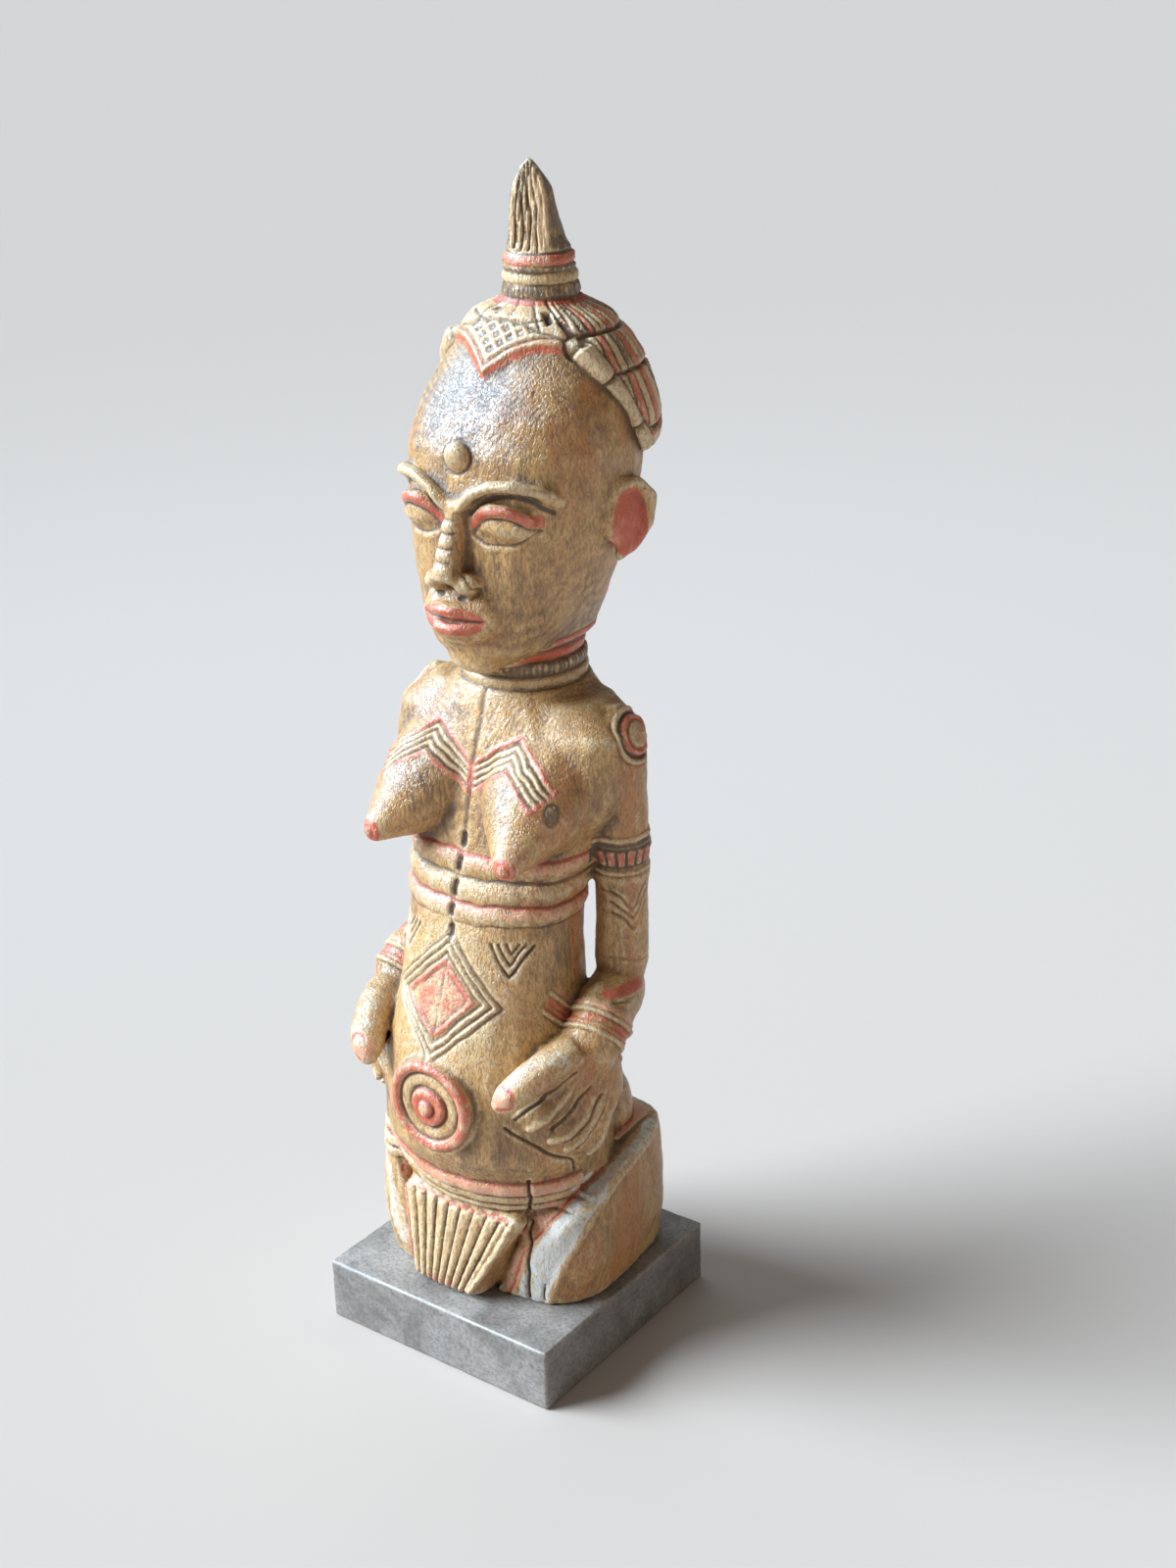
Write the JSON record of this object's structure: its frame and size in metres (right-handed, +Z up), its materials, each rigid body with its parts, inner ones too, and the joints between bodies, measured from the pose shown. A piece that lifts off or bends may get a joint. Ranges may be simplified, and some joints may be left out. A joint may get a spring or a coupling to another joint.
{
  "type": "carved wooden female figure",
  "caption": "Kneeling female figure carved in wood, hands on the belly, with a spiked topknot, painted red and cream bands and a black wooden base block.",
  "frame": {"origin": "centre of the base block's underside", "axes": "+Z up, the figure faces -Y, +X at the figure's own left hand"},
  "size_m": [0.1298, 0.1414, 0.5002],
  "materials": {
    "carved_wood": "satin patina with red and cream pigment",
    "black_wood": "worn black satin paint"
  },
  "bodies": {
    "root": {"figure": "carved_wood", "base_block": "black_wood"}
  },
  "joints": []
}
